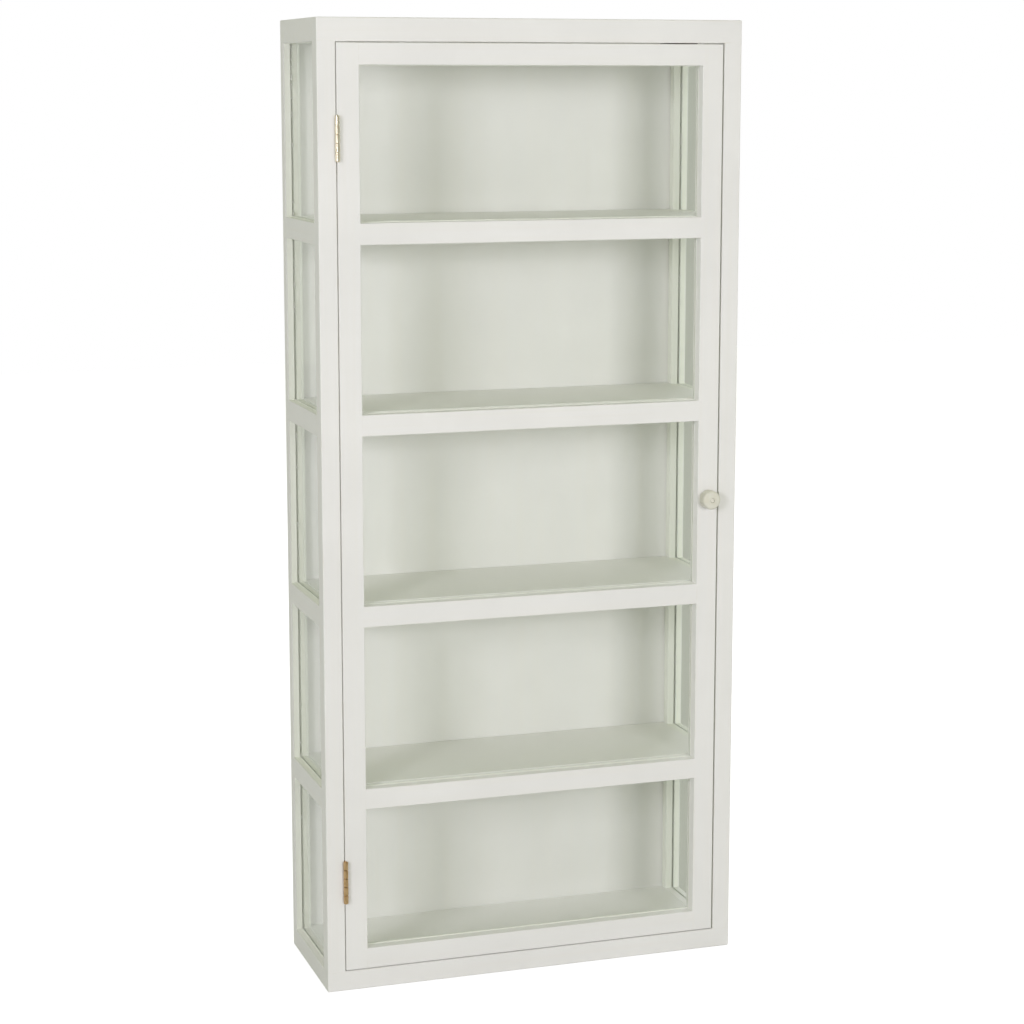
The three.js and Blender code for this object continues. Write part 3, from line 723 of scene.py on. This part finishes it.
def skin(rings, closed):
    """Faces between one ring of points and the next, and from the last to the first if closed. A ring
    of one point makes a closed end."""
    bm = bmesh.new()
    rings = [[bm.verts.new(point) for point in ring] for ring in rings]
    pairs = list(zip(rings, rings[1:]))
    if closed:
        pairs.append((rings[-1], rings[0]))
    around = max(len(ring) for ring in rings)
    for low, high in pairs:
        for i in range(around):
            j = (i + 1) % around
            corners = (low[i % len(low)], low[j % len(low)], high[j % len(high)], high[i % len(high)])
            bm.faces.new(list(dict.fromkeys(corners)))
    bmesh.ops.recalc_face_normals(bm, faces=bm.faces)
    return bm


def lathe(profile, segments, place=Matrix()):
    """Turns (radius, height) points round Z. The profile starts and ends on the axis, or else it is a
    closed loop that makes a ring."""
    turns = [2 * math.pi * step / segments for step in range(segments)]
    rings = []
    for radius, height in profile:
        around = turns if radius > 0.0 else turns[:1]
        rings.append([(radius * math.cos(turn), radius * math.sin(turn), height) for turn in around])
    bm = skin(rings, closed=len(rings[0]) > 1)
    bmesh.ops.transform(bm, matrix=place, verts=bm.verts)
    return bm


def quarter_arc(centre, radius, steps):
    """Points of a quarter circle for a profile, from the side up to the top."""
    turns = [math.radians(90.0 * step / steps) for step in range(steps + 1)]
    return [(centre[0] + radius * math.cos(t), centre[1] + radius * math.sin(t)) for t in turns]


def facing(point, direction, turn=0.0):
    """The matrix that takes +Z at the origin to a direction at a point, after a turn round itself."""
    swing = Vector((0.0, 0.0, 1.0)).rotation_difference(Vector(direction)).to_matrix().to_4x4()
    return Matrix.Translation(point) @ swing @ Matrix.Rotation(turn, 4, "Z")


def mesh_of(bm, name):
    mesh = bpy.data.meshes.new(name)
    bm.to_mesh(mesh)
    bm.free()
    return mesh


def carve(bm, joins=(), cuts=()):
    """Joins closed forms to a body, then cuts others out of it, by exact booleans."""
    scratch = [bpy.data.objects.new("scratch", mesh_of(bm, "scratch"))]
    body = scratch[0]
    for operation, forms in (("UNION", joins), ("DIFFERENCE", cuts)):
        for form in forms:
            tool = bpy.data.objects.new("scratch", mesh_of(form, "scratch"))
            scratch.append(tool)
            modifier = body.modifiers.new("carve", "BOOLEAN")
            modifier.operation = operation
            modifier.solver = "EXACT"
            modifier.object = tool
    for item in scratch:
        bpy.context.collection.objects.link(item)
    shaped = body.evaluated_get(bpy.context.evaluated_depsgraph_get())
    result = bmesh.new()
    result.from_mesh(shaped.to_mesh())
    shaped.to_mesh_clear()
    bmesh.ops.remove_doubles(result, verts=result.verts, dist=WELD)
    bmesh.ops.dissolve_degenerate(result, edges=result.edges, dist=WELD)
    for item in scratch:
        mesh = item.data
        bpy.data.objects.remove(item)
        bpy.data.meshes.remove(mesh)
    return result


def gather(forms):
    """Several separate closed forms as one bmesh."""
    result = bmesh.new()
    for form in forms:
        mesh = mesh_of(form, "scratch")
        result.from_mesh(mesh)
        bpy.data.meshes.remove(mesh)
    return result


def copies(form, places):
    """Copies of a form, one at each of some matrices."""
    made = []
    for place in places:
        copy = form.copy()
        bmesh.ops.transform(copy, matrix=place, verts=copy.verts)
        made.append(copy)
    form.free()
    return gather(made)


def node_form(node):
    """The shape of a CAD node as a bmesh of its own."""
    bm = bmesh.new()
    bm.from_mesh(frame["nodes"][node].data)
    bmesh.ops.remove_doubles(bm, verts=bm.verts, dist=COINCIDENT)
    return bm


def add_piece(name, bm, material, body, replaced=()):
    """A finished Blender piece, shaded smooth between its sharp edges."""
    mesh = mesh_of(bm, name)
    mesh.shade_smooth()
    mesh.set_sharp_from_angle(angle=SMOOTH_ANGLE)
    mesh.materials.clear()
    mesh.materials.append(material)
    piece = bpy.data.objects.new(name, mesh)
    bpy.context.collection.objects.link(piece)
    piece.modifiers.new("weighted_normal", "WEIGHTED_NORMAL").keep_sharp = True
    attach(piece, body)
    if replaced:
        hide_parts(*replaced)


# ---------- screws


def screw_profile(head, shank, length, dome=0.0):
    """From the point up to the head. The head is flat and countersunk, or else domed with a flat seat."""
    seat = 0.0 if dome else shank - head
    pitch = shank
    ridges = int((length + seat) / pitch) - TURNS_WITHOUT_THREAD
    points = [(0.0, -length)]
    for ridge in range(ridges, 0, -1):
        height = seat - ridge * pitch
        points.append((shank * (1.0 - THREAD_DEPTH), height - pitch / 2))
        points.append((shank, height))
    points.append((shank, seat))
    if dome:
        points.append((head, 0.0))
        points += [(head * out, dome * up) for out, up in DOMED_HEAD]
    else:
        points.append((head, -FLAT_HEAD["rim"] * head))
        points.append((head * FLAT_HEAD["face"], 0.0))
    points.append((0.0, dome))
    return points


def cross_prism(reach, half, low, high):
    """An upright prism whose outline is a plus sign, for the recess of a screw."""
    outline = []
    for quarter in range(4):
        turn = Matrix.Rotation(math.radians(90.0 * quarter), 2)
        outline += [turn @ Vector(corner) for corner in ((reach, -half), (reach, half), (half, half))]
    bm = bmesh.new()
    bottom, top = [[bm.verts.new((*corner, height)) for corner in outline] for height in (low, high)]
    bm.faces.new(bottom[::-1])
    bm.faces.new(top)
    for index in range(len(outline)):
        bm.faces.new((bottom[index - 1], bottom[index], top[index], top[index - 1]))
    return bm


def screw(head, shank, length, dome=0.0):
    """A cross-recess screw along Z, whose seat or flat face is at the origin."""
    body = lathe(screw_profile(head, shank, length, dome), SCREW_ROUND)
    depth = RECESS["depth_in_dome"] if dome else RECESS["depth_in_flat"]
    recess = cross_prism(RECESS["reach"] * head, RECESS["half"] * head, dome - depth * head, dome + head)
    return carve(body, cuts=(recess,))


def screw_hole(head, shank, length):
    """What a countersunk screw needs cut out of a plate."""
    narrow, wide, above = shank + SCREW_HOLE_CLEARANCE, head + SCREW_HOLE_CLEARANCE, shank
    points = [(0.0, -length), (narrow, -length), (narrow, shank - head)]
    points += [(wide, 0.0), (wide, above), (0.0, above)]
    return lathe(points, SCREW_ROUND)


def screwed(points, direction, chance):
    """Places of screws at some points, each stopped at a turn of its own."""
    return [facing(point, direction, chance.uniform(0.0, math.pi / 2)) for point in points]


# ---------- hinges


def knuckle(low, high, axis_x, axis_y):
    outer, bore, chamfer = HINGE["barrel"], HINGE["bore"], HINGE["chamfer"]
    length = high - low
    points = [(bore, 0.0), (outer - chamfer, 0.0), (outer, chamfer), (outer, length - chamfer)]
    points += [(outer - chamfer, length), (bore, length)]
    return lathe(points, ROUND, Matrix.Translation((axis_x, axis_y, low)))


def hinge_leaf(node, inset, first, head_side, chance):
    """One leaf of a butt hinge with every other knuckle from `first`, and the places of its screws.
    `inset` is the low x of its plate, and the screw heads look along `head_side`."""
    pivot = Vector(frame["joints"][0]["pos_m"])
    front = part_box("left_front_post")[0].y
    bottom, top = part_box(node)[0].z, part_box(node)[1].z
    middle = (bottom + top) / 2
    pitch = (top - bottom) / HINGE_KNUCKLES
    outer = inset + HINGE["leaf"]
    low, high = (inset, front + HINGE["set_back"], bottom), (outer, front + HINGE["depth"], top)
    leaf = plate(low, high, 0, HINGE["corner"], HINGE["ease"])
    tab_from = pivot.y if first == 0 else (pivot.y + front) / 2
    joins = []
    for index in range(first, HINGE_KNUCKLES, 2):
        start = bottom + index * pitch + HINGE["knuckle_gap"] / 2
        end = start + pitch - HINGE["knuckle_gap"]
        joins.append(knuckle(start, end, pivot.x, pivot.y))
        joins.append(block((inset, tab_from, start), (outer, front + HINGE["tab"], end)))
    bore = bore_cutter(pivot, bottom, top)
    face = outer if head_side > 0 else inset
    points = []
    for index in range(HINGE_SCREWS):
        step = index - (HINGE_SCREWS - 1) / 2
        points.append((face, front + HINGE["screw_inset"], middle + step * HINGE["screw_spacing"]))
    places = screwed(points, (head_side, 0.0, 0.0), chance)
    hole = copies(screw_hole(**{**HINGE_SCREW, "length": HINGE["hole_length"]}), places)
    return carve(leaf, joins=joins, cuts=(bore, hole)), places


def bore_cutter(pivot, bottom, top):
    start, end = -HINGE["barrel"], top - bottom + HINGE["barrel"]
    points = [(0.0, start), (HINGE["bore"], start), (HINGE["bore"], end), (0.0, end)]
    return lathe(points, ROUND, Matrix.Translation((pivot.x, pivot.y, bottom)))


def hinge_pin(node):
    """A pin with softly crowned ends that stand a little proud of the barrel."""
    low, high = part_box(node)
    radius, crown = HINGE["pin"], HINGE["pin_proud"]
    half = (high.z - low.z) / 2
    points = [(0.0, -half)]
    for step in range(1, ARC_STEPS["pin"] + 1):
        turn = math.radians(90.0 * step / ARC_STEPS["pin"])
        points.append((radius * math.sin(turn), crown - half - crown * math.cos(turn)))
    points += [(out, -height) for out, height in reversed(points)]
    return lathe(points, ROUND, Matrix.Translation((low + high) / 2))


def add_hinges(finishes, chance):
    post_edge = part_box("left_front_post")[1].x
    door_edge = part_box("door_left_stile")[0].x
    for name in ("upper", "lower"):
        metal_finish = finishes[f"brass_{name}"]
        leaves = (
            ("post", "cabinet", f"{name}_hinge_frame_leaf", post_edge - HINGE["recess"], 0, 1),
            ("door", "door", f"{name}_hinge_door_leaf", door_edge + HINGE["recess"] - HINGE["leaf"], 1, -1),
        )
        for side, body, node, inset, first, head_side in leaves:
            leaf, places = hinge_leaf(node, inset, first, head_side, chance)
            add_piece(f"{name}_hinge_leaf_on_{side}", leaf, metal_finish, body, (node,))
            screws = copies(screw(**HINGE_SCREW), places)
            add_piece(f"{name}_hinge_screws_in_{side}", screws, metal_finish, body)
        node = f"{name}_hinge_pin"
        crowned = f"{name}_hinge_crowned_pin"
        add_piece(crowned, hinge_pin(node), metal_finish, "cabinet", (node,))


# ---------- knob


def add_knob(finishes):
    """The turned drum, with a bore from behind for its screw and a plugged hole in its face."""
    place = facing(back_middle("knob"), FORWARD)
    radius, foot, edge = KNOB["radius"], KNOB["foot"], KNOB["edge"]
    shoulder = KNOB["projection"] - KNOB["crown"] - edge
    points = [(0.0, KNOB["bore_depth"]), (KNOB["bore"], KNOB["bore_depth"]), (KNOB["bore"], 0.0)]
    points.append((foot, 0.0))
    steps = ARC_STEPS["knob_foot"]
    for step in range(steps + 1):
        turn = math.radians(90.0 * step / steps)
        out = foot + (radius - foot) * (1.0 - math.cos(turn))
        points.append((out, KNOB["foot_rise"] + (KNOB["foot_height"] - KNOB["foot_rise"]) * math.sin(turn)))
    points += quarter_arc((radius - edge, shoulder), edge, ARC_STEPS["knob_edge"])
    rim = KNOB["plug_hole"] + KNOB["rim"]
    for share in KNOB_FACE_RINGS:
        out = rim + (radius - edge - rim) * share
        points.append((out, KNOB["projection"] - KNOB["crown"] * (out / (radius - edge)) ** 2))
    hole_low = KNOB["projection"] - KNOB["plug_depth"]
    points.append((KNOB["plug_hole"], points[-1][1] - KNOB["rim"]))
    points += [(KNOB["plug_hole"], hole_low), (0.0, hole_low)]
    drum = lathe(points, 2 * ROUND, place)
    add_piece("turned_knob", drum, finishes["knob"], "door", ("knob",))

    top = hole_low + KNOB["plug_length"]
    ease = KNOB["rim"]
    plug_points = [(0.0, hole_low), (KNOB["plug"], hole_low)]
    plug_points += quarter_arc((KNOB["plug"] - ease, top - 2 * ease), ease, ARC_STEPS["plug"])
    plug_points += [(KNOB["plug"] / 2, top - ease / 2), (0.0, top)]
    plug = lathe(plug_points, ROUND, place)
    add_piece("knob_face_plug", plug, finishes["knob_plug"], "door", ("knob_plug",))

    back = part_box("door_right_stile")[1].y
    seat = (place.translation.x, back, place.translation.z)
    fastener = copies(screw(**KNOB_SCREW), [facing(seat, BACKWARD, KNOB_SCREW_TURN)])
    add_piece("knob_long_screw", fastener, finishes["steel"], "door", ("knob_screw",))


# ---------- catch, strike and hanger plates


def slot_cutter(centre, low_z, high_z):
    """A slot with round ends that runs front to back."""
    radius, reach = CATCH["slot_radius"], CATCH["slot_reach"]
    low = (centre.x - radius, centre.y - reach - radius, low_z)
    high = (centre.x + radius, centre.y + reach + radius, high_z)
    bm = block(low, high)
    upright = [edge for edge in bm.edges if is_along(edge, 2)]
    bevel(bm, upright, radius * SLOT_ROUNDING, CORNER_SEGMENTS)
    return bm


def add_catch(finishes, chance):
    """The magnet's housing between two thinner ears, each with a slot and a screw up into the board.
    A thin lip of it runs forward in the gap over the door: painted shade, a dark sheet that darkens the gap
    in front of the catch seen through it."""
    low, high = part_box("catch_body")
    magnet_low, magnet_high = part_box("catch_magnet")
    ear, ease = CATCH["ear"], CATCH["ease"]
    ear_low = high.z - CATCH["ear_height"]
    housing = plate((low.x + ear, low.y, low.z), (high.x - ear, high.y, high.z), 2, 2 * ease, ease)
    ears = plate((low.x, low.y + CATCH["corner"], ear_low), tuple(high), 2, CATCH["corner"], ease)
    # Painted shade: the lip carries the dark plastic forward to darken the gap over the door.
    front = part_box("top_board")[0].y + CATCH["lip_set_back"]
    lip_low = (low.x, front, high.z - CATCH["lip"])
    lip = plate(lip_low, (high.x, low.y + CATCH["lip_overlap"], high.z), 2, 2 * ease, CATCH["lip_ease"])
    grow = Vector((1.0, 1.0, 1.0)) * CATCH["pocket_clearance"]
    pocket_low = magnet_low - grow
    pocket_low.y = low.y - ear
    pocket = block(pocket_low, magnet_high + grow)
    middle_y = (low.y + CATCH["corner"] + high.y) / 2
    centres = [Vector((x, middle_y, ear_low)) for x in (low.x + ear / 2, high.x - ear / 2)]
    slots = [slot_cutter(centre, ear_low - ease, high.z + ease) for centre in centres]
    body = carve(housing, joins=(ears, lip), cuts=(pocket, *slots))
    add_piece("catch_housing", body, finishes["catch"], "cabinet", ("catch_body",))

    screws = copies(screw(**CATCH_SCREW), screwed(centres, DOWNWARD, chance))
    add_piece("catch_screws", screws, finishes["steel"], "cabinet")

    pole, gap = CATCH["pole"], CATCH["pole_ease"]
    core_low = magnet_low + Vector((pole, CATCH["core_set_back"], pole + gap))
    core_high = magnet_high - Vector((pole, 0.0, pole + gap))
    core = plate(tuple(core_low), tuple(core_high), 1, gap, gap)
    add_piece("catch_magnet_core", core, finishes["magnet"], "cabinet", ("catch_magnet",))
    poles = []
    for bottom in (magnet_low.z, magnet_high.z - pole):
        corner_low = (magnet_low.x, magnet_low.y, bottom)
        corner_high = (magnet_high.x, magnet_high.y, bottom + pole)
        poles.append(plate(corner_low, corner_high, 2, pole / 2, gap))
    add_piece("catch_pole_plates", gather(poles), finishes["steel"], "cabinet")


def add_strike_plate(finishes, chance):
    low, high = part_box("strike_plate")
    places = screwed([back_middle("strike_plate")], BACKWARD, chance)
    blank = plate(tuple(low), tuple(high), 1, STRIKE_PLATE["corner"], STRIKE_PLATE["ease"])
    body = carve(blank, cuts=(copies(screw_hole(**PLATE_SCREW), places),))
    add_piece("strike_plate_eased", body, finishes["steel"], "door", ("strike_plate",))
    fastener = copies(screw(**PLATE_SCREW), places)
    add_piece("strike_plate_screw", fastener, finishes["steel"], "door")


def add_hanger_plates(finishes, chance):
    for side in ("left", "right"):
        node = f"{side}_hanger_plate"
        offset = Vector((HANGER_SCREW_OFFSET, 0.0, 0.0))
        middle = back_middle(node)
        places = screwed([middle - offset, middle + offset], BACKWARD, chance)
        body = carve(node_form(node), cuts=(copies(screw_hole(**PLATE_SCREW), places),))
        add_piece(f"{side}_keyhole_plate", body, finishes["steel"], "cabinet", (node,))
        screws = copies(screw(**PLATE_SCREW), places)
        add_piece(f"{side}_keyhole_plate_screws", screws, finishes["steel"], "cabinet")


# ---------- pins and glazing paint


def add_panel_pins(finishes):
    """Flat-headed pins round the edge of the back panel, driven flush into its rebate."""
    low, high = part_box("back_panel")
    inset, (across, upward) = PANEL_PIN["inset"], PANEL_PINS
    points = []
    for index in range(across):
        x = low.x + (high.x - low.x) * (index + 1) / (across + 1)
        points += [(x, high.y, low.z + inset), (x, high.y, high.z - inset)]
    for index in range(upward):
        z = low.z + inset + (high.z - low.z - 2 * inset) * (index + 0.5) / upward
        points += [(low.x + inset, high.y, z), (high.x - inset, high.y, z)]
    head, shank, length = PANEL_PIN["head"], PANEL_PIN["shank"], PANEL_PIN["length"]
    thick = shank / 2
    profile = [(0.0, -length), (shank, 2 * shank - length), (shank, -thick)]
    profile += [(head, -thick / 2), (head * PANEL_PIN_FACE, thick / 8), (0.0, thick / 4)]
    pins = copies(lathe(profile, SCREW_ROUND // 2), [facing(point, BACKWARD) for point in points])
    add_piece("back_panel_pins", pins, finishes["steel"], "cabinet")


def putty_ring(axis, face, outward, low, high):
    """A fillet of putty round one face of a pane. The face looks along `axis` (0 or 1) to the side
    `outward` (1 or -1). `low` and `high` are the corners of the opening in the plane of the face."""
    up, out, toe, sink = PUTTY["up"], PUTTY["out"], PUTTY["toe"], PUTTY["sink"]
    section = [(up, 0.0), (up, toe), (toe, out), (-sink, out), (-sink, 0.0)]
    rings = []
    for inward, away in section:
        near = (low[0] + inward, low[1] + inward)
        far = (high[0] - inward, high[1] - inward)
        level = face + outward * away
        corners = (near, (far[0], near[1]), far, (near[0], far[1]))
        rings.append([(level, *corner) if axis == 0 else (corner[0], level, corner[1]) for corner in corners])
    return skin(rings, closed=True)


def putty_on(panes, axis, start, end):
    """Putty on both faces of five panes, in openings that run from `start` to `end`."""
    forms = []
    for low, high, bottom, top in openings(panes):
        for face, outward in ((high[axis] + PUTTY["gap"], 1), (low[axis] - PUTTY["gap"], -1)):
            forms.append(putty_ring(axis, face, outward, (start, bottom), (end, top)))
    return gather(forms)


def add_putty(finishes):
    """Putty round every pane. Along the back posts it sits deep in the groove, so that a thin dark
    line stays there."""
    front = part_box("left_front_post")[1].y
    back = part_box("left_back_post")[0].y + PUTTY["back"]
    for side in ("left", "right"):
        ring = putty_on(f"{side}_side_glass", 0, front, back)
        add_piece(f"{side}_side_putty", ring, finishes["putty"], "cabinet")
    left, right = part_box("door_left_stile")[1].x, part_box("door_right_stile")[0].x
    add_piece("door_putty", putty_on("door_glass", 1, left, right), finishes["putty"], "door")


def openings(panes):
    """For each of the five panes, its corners and the heights of the opening that it fills."""
    found = []
    for index in range(1, PANES + 1):
        low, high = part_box(f"{panes}_{index}")
        found.append((low, high, low.z + GLASS_IN_GROOVE, high.z - GLASS_IN_GROOVE))
    return found


def add_glazing_daubs(finishes, chance):
    """Daubs of paint on the side panes where they enter the back posts, closer together near the top."""
    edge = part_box("left_back_post")[0].y
    bottom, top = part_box("back_panel")[0].z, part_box("back_panel")[1].z
    foot = DAUB_SHARE_AT_FOOT
    for side, share in DAUB_SHARE.items():
        forms = []
        for low, _, start, end in openings(f"{side}_side_glass"):
            z = start
            while z < end:
                raised = (z - bottom) / (top - bottom)
                if chance.random() < share * (foot + (1.0 - foot) * raised ** DAUB_FADE):
                    forms.append(daub((low.x, edge - DAUB["wide"], z), chance))
                z += DAUB["step"] * chance.uniform(*DAUB_VARIES["step"])
        add_piece(f"{side}_glazing_daubs", gather(forms), finishes["daub"], "cabinet")


def daub(point, chance):
    """One flat daub of paint on the left face of a pane, longest along Z."""
    radius = DAUB["radius"] * chance.uniform(*DAUB_VARIES["radius"])
    long = radius * chance.uniform(*DAUB_VARIES["length"])
    bm = bmesh.new()
    stretch = Matrix.Translation(point) @ Matrix.Diagonal((DAUB["thick"], DAUB["wide"], long, 1.0))
    bmesh.ops.create_icosphere(bm, subdivisions=2, radius=1.0)
    for vertex in bm.verts:
        vertex.co *= chance.uniform(*DAUB_VARIES["lump"])
    bmesh.ops.transform(bm, matrix=stretch, verts=bm.verts)
    return bm


# ---------- build

add_camera()
add_lights()
add_world()
add_floor()
finishes = make_finishes()
finish_nodes(finishes)
chance = random.Random(SEED)
add_hinges(finishes, chance)
add_knob(finishes)
add_catch(finishes, chance)
add_strike_plate(finishes, chance)
add_hanger_plates(finishes, chance)
add_panel_pins(finishes)
add_putty(finishes)
add_glazing_daubs(finishes, chance)
